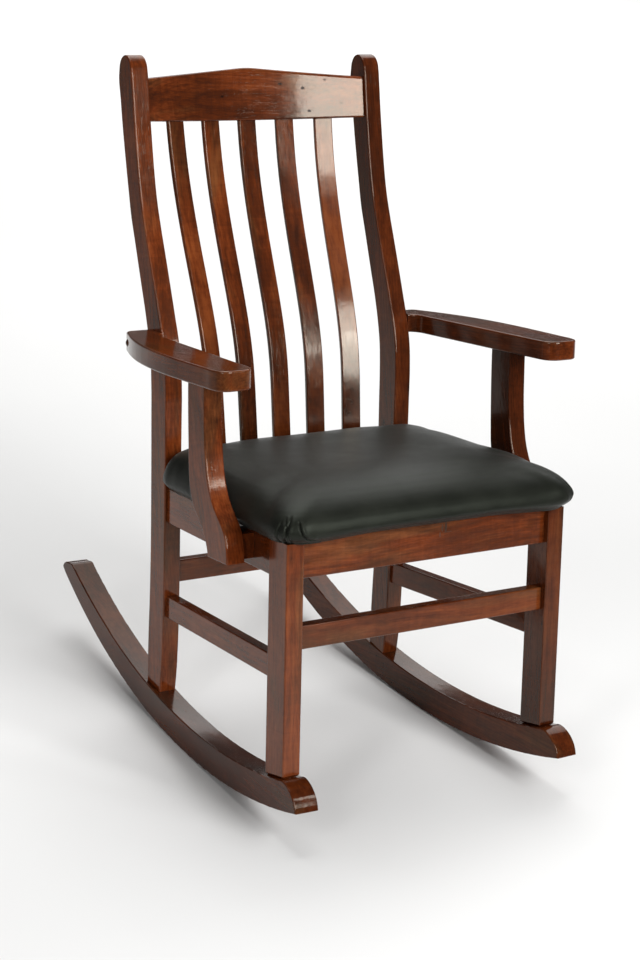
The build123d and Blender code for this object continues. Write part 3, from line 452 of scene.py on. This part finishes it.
for node, (grain, face, seed, tone_and_shade, heart, figure) in BOARDS.items():
    spec = 0.22 if "rocker" in node else 0.34
    # painted shade on the back slats: darker towards the seat
    low_shade = (0.46, 0.80, 0.44) if "slat" in node else None
    marks = MARKS.get(node, ())
    dress(node, wood("wood_" + node, centre(node), grain, face, seed, tone_and_shade, heart, figure, spec=spec, low_shade=low_shade, marks=marks))

for i, node in enumerate(("corner_block_front_left", "corner_block_front_right", "corner_block_rear_left", "corner_block_rear_right")):
    turn = 1 if "left" in node else -1
    dress(node, raw_wood("raw_" + node, centre(node), (1, turn * (1 if "front" in node else -1), 0), (0, 0, 1), 2.0 + i))
for i, node in enumerate(("rocker_dowels", "arm_dowels")):
    dress(node, raw_wood("raw_" + node, centre(node), UP, X, 8.0 + i))
dress("seat_board", raw_wood("raw_seat_board", centre("seat_board"), X, UP, 5.0, ply=True))
steel_mat = steel("zinc_steel")
for node in ("arm_screws", "arm_post_screws", "corner_block_screws", "seat_screws", "leather_staples"):
    dress(node, steel_mat)
dress("dust_cover", dust_cloth("dust_cloth"))
leather_mat = leather("black_leather")


# ------------------------------------------------------------------ the padded seat
SEAT_Z = 0.4400


def outline(n, xf, xb, yf, yb, rf, rb):
    """Points round the seat seen from above, starting at the middle of the front, going to +X."""
    cf, cb = Vector((xf - rf, yf + rf)), Vector((xb - rb, yb - rb))
    pts = []

    def arc(c, rad, a0, a1, k):
        for i in range(k + 1):
            a = a0 + (a1 - a0) * i / k
            pts.append(Vector((c.x + rad * math.cos(a), c.y + rad * math.sin(a))))

    pts.append(Vector((0, yf)))
    arc(cf, rf, -math.pi / 2, 0.0, 8)
    arc(cb, rb, 0.0, math.pi / 2, 8)
    pts.append(Vector((0, yb)))
    half = pts[:]
    full = half + [Vector((-p.x, p.y)) for p in reversed(half[1:-1])]
    # even spacing
    closed = full + [full[0]]
    lens = [0.0]
    for a, b in zip(closed[:-1], closed[1:]):
        lens.append(lens[-1] + (b - a).length)
    out = []
    for i in range(n):
        s = lens[-1] * i / n
        j = max(k for k in range(len(lens) - 1) if lens[k] <= s)
        w = (s - lens[j]) / max(1e-9, lens[j + 1] - lens[j])
        out.append(closed[j].lerp(closed[j + 1], w))
    return out


def seat_mesh():
    """Closed pad: turned-in underside, full sides and one taut domed top."""
    n = 176
    low = [(0.030, 0.0004), (0.0195, 0.0004), (0.0125, 0.0034), (0.0065, 0.0084), (0.0018, 0.0134)]
    rise = [0.0, 0.0012, 0.0035, 0.0075, 0.0130, 0.0200, 0.0290, 0.0400, 0.0540, 0.0720, 0.0950, 0.1230, 0.1550, 0.1880]
    levels = [(t, h, False) for t, h in low] + [(t, 0.0, True) for t in rise]
    verts, faces, rings = [], [], []
    widest = outline(n, 0.2885, 0.2650, -0.0262, 0.4185, 0.045, 0.034)
    for inset, h, domed in levels:
        xf, xb, yf, yb = 0.2885 - inset, 0.2650 - inset, -0.0262 + inset, 0.4185 - inset
        rf = max(0.045 - 0.10 * inset, 0.022)
        rb = max(0.034 - 0.10 * inset, 0.018)
        ring = []
        for k, q in enumerate(outline(n, xf, xb, yf, yb, min(rf, (yb - yf) / 2.2), min(rb, (yb - yf) / 2.2))):
            z = h
            if domed:
                wp = widest[k]
                rear = smooth01(0.395, 0.417, wp.y) * (1.0 - 0.75 * smooth01(0.12, 0.25, abs(wp.x)))
                flank = smooth01(0.03, 0.12, wp.y)
                power = 3.6 + 2.6 * flank + 2.8 * smooth01(0.18, 0.34, wp.y) + 4.2 * rear
                z = 0.0180 + 0.0610 * math.sqrt(max(0.0, 1.0 - (1.0 - inset / 0.2) ** power))
            ring.append(len(verts))
            verts.append((q.x, q.y, SEAT_Z + z))
        rings.append(ring)
    for a, b in zip(rings[:-1], rings[1:]):
        for i in range(n):
            faces.append((a[i], a[(i + 1) % n], b[(i + 1) % n], b[i]))
    c_top = len(verts)
    verts.append((0, 0.196, SEAT_Z + 0.0792))
    c_bot = len(verts)
    verts.append((0, 0.196, SEAT_Z + 0.0004))
    for i in range(n):
        faces.append((rings[-1][i], rings[-1][(i + 1) % n], c_top))
        faces.append((rings[0][(i + 1) % n], rings[0][i], c_bot))
    me = bpy.data.meshes.new("seat_cushion")
    me.from_pydata(verts, [], faces)
    me.update()
    return me


def smooth01(a, b, x):
    x = max(0.0, min(1.0, (x - a) / (b - a)))
    return x * x * (3 - 2 * x)


def even_out(me, shifts, rounds):
    """Average a displacement over each vertex's neighbours."""
    near = [[] for _ in me.vertices]
    for e in me.edges:
        a, b = e.vertices
        near[a].append(b)
        near[b].append(a)
    for _ in range(rounds):
        shifts = [
            d * 0.4 + sum((shifts[j] for j in near[i]), Vector((0, 0, 0))) * (0.6 / max(1, len(near[i])))
            for i, d in enumerate(shifts)
        ]
    return shifts


def apply_all(ob):
    dg = bpy.context.evaluated_depsgraph_get()
    dg.update()
    me = bpy.data.meshes.new_from_object(ob.evaluated_get(dg))
    old = ob.data
    ob.modifiers.clear()
    ob.data = me
    bpy.data.meshes.remove(old)


cushion = bpy.data.objects.new("seat_cushion", seat_mesh())
bpy.context.scene.collection.objects.link(cushion)
rem = cushion.modifiers.new("remesh", "REMESH")
rem.mode = "VOXEL"
rem.voxel_size = 0.0055
apply_all(cushion)

sc = bpy.context.scene
start = [v.co.copy() for v in cushion.data.vertices]
pin = cushion.vertex_groups.new(name="held")
for v in cushion.data.vertices:
    h = v.co.z - SEAT_Z
    w = 1.0 if h < 0.006 else max(0.0, 1.0 - (h - 0.006) / 0.010)
    if w > 0:
        pin.add([v.index], w, "REPLACE")
cl = cushion.modifiers.new("cloth", "CLOTH")
st = cl.settings
st.quality = 6
st.mass = 0.35
st.tension_stiffness = 22.0
st.compression_stiffness = 22.0
st.shear_stiffness = 8.0
st.bending_stiffness = 1.2
st.use_pressure = True
st.uniform_pressure_force = 3.6
st.vertex_group_mass = "held"
st.effector_weights.gravity = 0.0
cl.collision_settings.use_self_collision = False
cl.point_cache.frame_start = 1
cl.point_cache.frame_end = 20
for fr in range(1, 21):
    sc.frame_set(fr)
apply_all(cushion)
CAP = 0.022
swell = []
for v, a in zip(cushion.data.vertices, start):
    d = v.co - a
    swell.append(d * min(1.0, CAP / max(1e-9, d.length)))
soft = even_out(cushion.data, swell, 26)
taut = even_out(cushion.data, swell, 5)
# leather drawn tight over foam: the broad swell, and a trace of the finer tension lines
for v, a, d1, d2 in zip(cushion.data.vertices, start, soft, taut):
    h = a.z - SEAT_Z
    keep = smooth01(0.004, 0.020, h)
    v.co = a + d1 * (0.22 * keep) + (d2 - d1) * (0.16 * keep)
sc.frame_set(1)

sub = cushion.modifiers.new("sub", "SUBSURF")
sub.levels = sub.render_levels = 1
apply_all(cushion)


# finer mesh at the front corners, where the folds are
bm = bmesh.new()
bm.from_mesh(cushion.data)
for sgn in (-1, 1):
    pick = [
        e for e in bm.edges
        if all(sgn * v.co.x > 0.212 and v.co.y < 0.045 and 0.001 < v.co.z - SEAT_Z < 0.050 for v in e.verts)
    ]
    bmesh.ops.subdivide_edges(bm, edges=pick, cuts=2, use_grid_fill=True)
bm.to_mesh(cushion.data)
bm.free()
cushion.data.update()


# tucks where the leather is folded round the corners, pulled under and stapled
def tuck(co, corner, angles, depth, width, top):
    d = Vector((co.x - corner.x, co.y - corner.y))
    if d.length < 1e-6:
        return Vector((0, 0, 0))
    a = math.atan2(d.y, d.x)
    h = co.z - SEAT_Z
    move = 0.0
    for k, (ang, strength, reach) in enumerate(angles):
        # the fold leans over a little on its way up
        da = (a - ang - 0.25 * (h / top) * (1 if k % 2 else -1)) * d.length
        fade = 1.0 - smooth01(reach * 0.55, reach, h)
        move -= depth * strength * fade * math.exp(-((da / width) ** 2))
        move += 0.45 * depth * strength * fade * math.exp(-(((da - 2.2 * width) / (1.6 * width)) ** 2))
        move += 0.30 * depth * strength * fade * math.exp(-(((da + 2.4 * width) / (1.8 * width)) ** 2))
    return Vector((d.x, d.y, 0)).normalized() * move


# the edge of the folded flap at the left front corner: (x, height) along the line, from its top end down
FLAP = [(-0.2560, 0.0410), (-0.2578, 0.0340), (-0.2580, 0.0265), (-0.2552, 0.0185), (-0.2475, 0.0120), (-0.2375, 0.0085), (-0.2270, 0.0078)]


def flap(co):
    """Crease along the flap's edge, and the flap's own thickness beside it."""
    h = co.z - SEAT_Z
    best, side, along = 1.0, 1.0, 0.0
    for i in range(len(FLAP) - 1):
        (x0, h0), (x1, h1) = FLAP[i], FLAP[i + 1]
        dx, dh = x1 - x0, h1 - h0
        w = max(0.0, min(1.0, ((co.x - x0) * dx + (h - h0) * dh) / (dx * dx + dh * dh)))
        ex, eh = co.x - (x0 + dx * w), h - (h0 + dh * w)
        dist = math.hypot(ex, eh)
        if dist < best:
            best, along = dist, (i + w) / (len(FLAP) - 1)
            side = 1.0 if dx * eh - dh * ex > 0 else -1.0
    if best > 0.012:
        return Vector((0, 0, 0))
    fade = smooth01(0.0, 0.16, along) * (1.0 - smooth01(0.86, 1.0, along))
    s = best * side
    move = -0.0034 * math.exp(-((s / 0.0013) ** 2)) + 0.0017 * math.exp(-(((s - 0.0040) / 0.0030) ** 2))
    d = Vector((min(0.0, co.x + 0.243), min(-0.001, co.y - 0.019), 0)).normalized()
    return d * move * fade


for v in cushion.data.vertices:
    if v.co.x < -0.222 and v.co.y < 0.012 and v.co.z < SEAT_Z + 0.055:
        v.co = v.co + flap(v.co)

for v in cushion.data.vertices:
    co = v.co
    sx = 1.0 if co.x >= 0 else -1.0
    m = Vector((sx * co.x, co.y, co.z))
    if m.x > 0.20 and m.y < 0.06 and m.z < SEAT_Z + 0.045:
        c = Vector((0.236, 0.030))
        folds = [(-0.66, 1.0, 0.050), (-0.90, 0.7, 0.046), (-0.40, 0.6, 0.044)]
        mv = tuck(m, c, folds, 0.0034, 0.0019, 0.05)
        m = m + mv
    if m.x > 0.19 and m.y > 0.35 and m.z < SEAT_Z + 0.05:
        c = Vector((0.222, 0.378))
        folds = [(0.80, 1.0, 0.040), (1.15, 0.6, 0.030)]
        m = m + tuck(m, c, folds, 0.0018, 0.0028, 0.05)
    # slow unevenness of the padding under the leather
    nz = noise.noise(Vector((m.x * sx * 9.0, m.y * 9.0, m.z * 6.0 + 3.1)))
    nf = noise.noise(Vector((m.x * sx * 28.0, m.y * 24.0, m.z * 30.0 + 7.7)))
    h = m.z - SEAT_Z
    side = smooth01(0.004, 0.014, h)
    out = Vector((m.x / 0.28, (m.y - 0.195) / 0.21, 0))
    rim = 1.0 if out.length > 0.9 else 0.0
    m = m + Vector((0, 0, 1)) * (0.0010 * nz + 0.00020 * nf) * side
    # short pulls running in from the edge where the leather is drawn down
    if rim and side > 0:
        along = m.x * sx if abs(m.y - 0.195) > 0.19 else m.y
        ripple = noise.noise(Vector((along * 46.0, 1.7, h * 9.0)))
        m = m + out.normalized() * ripple * 0.0005 * side * (1 - smooth01(0.02, 0.045, h))
    if h < 0.0025:
        # underside: leather margin on the board, open in the middle above the dust cover
        inside_open = abs(m.x) < 0.2115 - 0.0602 * max(0.0, (m.y - 0.032)) and 0.032 < m.y < 0.364
        m.z = SEAT_Z + (0.0032 if inside_open else 0.00025)
    # the front lip is drawn up a little along the middle, clear of the apron
    lip = (1.0 - smooth01(0.10, 0.23, abs(m.x))) * (1.0 - smooth01(-0.002, 0.016, m.y)) * (1.0 - smooth01(0.006, 0.022, m.z - SEAT_Z))
    m.z += 0.0045 * lip
    v.co = Vector((sx * m.x, m.y, m.z))

for v in cushion.data.vertices:
    v.co = settle(v.co)
for poly in cushion.data.polygons:
    poly.use_smooth = True
cushion.data.materials.clear()
cushion.data.materials.append(leather_mat)
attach(cushion, "root")
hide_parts("seat_cover", "seat_foam")

# ------------------------------------------------------------------ floor and backdrop
view_dir = Vector((-back.x, -back.y, 0)).normalized()
side_dir = Vector((view_dir.y, -view_dir.x, 0))


def flat_floor():
    half = 26.0
    verts = [(-half, -half, 0.0), (half, -half, 0.0), (half, half, 0.0), (-half, half, 0.0)]
    me = bpy.data.meshes.new("studio_floor")
    me.from_pydata(verts, [], [(0, 1, 2, 3)])
    ob = bpy.data.objects.new("studio_floor", me)
    bpy.context.scene.collection.objects.link(ob)
    return ob


floor = flat_floor()
ft = Tree("studio_floor")
ftc = ft.node("ShaderNodeTexCoord").outputs["Object"]
fcol = ft.ramp(ft.noise(ftc, 0.8, 2.0, 0.5), [(0.3, (0.90, 0.90, 0.895)), (0.7, (0.93, 0.93, 0.925))])
fsep = ft.vmath("DOT_PRODUCT", ftc, tuple(view_dir))
flat = ft.math("ABSOLUTE", ft.vmath("DOT_PRODUCT", ftc, tuple(side_dir)))
near = ft.remap(fsep, 0.6, 2.6, 0.82, 1.0, True)
fcol = ft.mix(1.0, fcol, near, "MULTIPLY")
away = ft.math("MAXIMUM", ft.remap(fsep, -0.85, -2.3, 0.0, 1.0, True), ft.remap(ft.math("MULTIPLY_ADD", fsep, -0.12, flat), 0.85, 2.4, 0.0, 1.0, True))
fcol = ft.mix(away, fcol, (0.48, 0.48, 0.475))
ft.link(fcol, ft.bsdf.inputs["Base Color"])
ft.bsdf.inputs["Roughness"].default_value = 0.9
ft.bsdf.inputs["Specular IOR Level"].default_value = 0.15
floor.data.materials.append(ft.mat)

# ------------------------------------------------------------------ light
world = bpy.data.worlds.new("studio")
world.use_nodes = True
bg = world.node_tree.nodes["Background"]
bg.inputs["Color"].default_value = (1.0, 0.98, 0.95, 1.0)
# dim as light, pale where it is seen past the edge of the floor
seen = world.node_tree.nodes.new("ShaderNodeLightPath")
level = world.node_tree.nodes.new("ShaderNodeMath")
level.operation = "MULTIPLY_ADD"
level.inputs[1].default_value = 0.62
level.inputs[2].default_value = 0.10
world.node_tree.links.new(seen.outputs["Is Camera Ray"], level.inputs[0])
world.node_tree.links.new(level.outputs[0], bg.inputs["Strength"])
bpy.context.scene.world = world
bpy.context.scene.view_settings.view_transform = "Standard"


def area(name, pos, target, sx, sy, power, color=(1, 1, 1)):
    d = bpy.data.lights.new(name, "AREA")
    d.shape = "RECTANGLE"
    d.size, d.size_y = sx, sy
    d.energy = power
    d.color = color
    o = bpy.data.objects.new(name, d)
    o.location = pos
    o.rotation_euler = (Vector(target) - Vector(pos)).to_track_quat("-Z", "Y").to_euler()
    bpy.context.scene.collection.objects.link(o)
    return o


area("key_softbox", (0.55, -3.3, 2.1), (0, 0.1, 0.6), 1.5, 1.7, 132)
area("left_strip", (-3.0, -1.9, 1.7), (0, 0, 0.6), 0.5, 1.9, 34)
glint = area("post_glint", (0.52, -1.18, 1.19), (-0.3, 0.0, 0.5), 0.20, 0.27, 2.2)
glint.visible_camera = False
area("overhead", (-0.1, 0.7, 3.4), (0, 0.3, 0.3), 2.0, 2.0, 48)
wash = area("back_wash", tuple(view_dir * 7.6 + Vector((0, 0, 5.0))), tuple(view_dir * 7.6001), 9.0, 10.0, 620)
wash.visible_camera = False
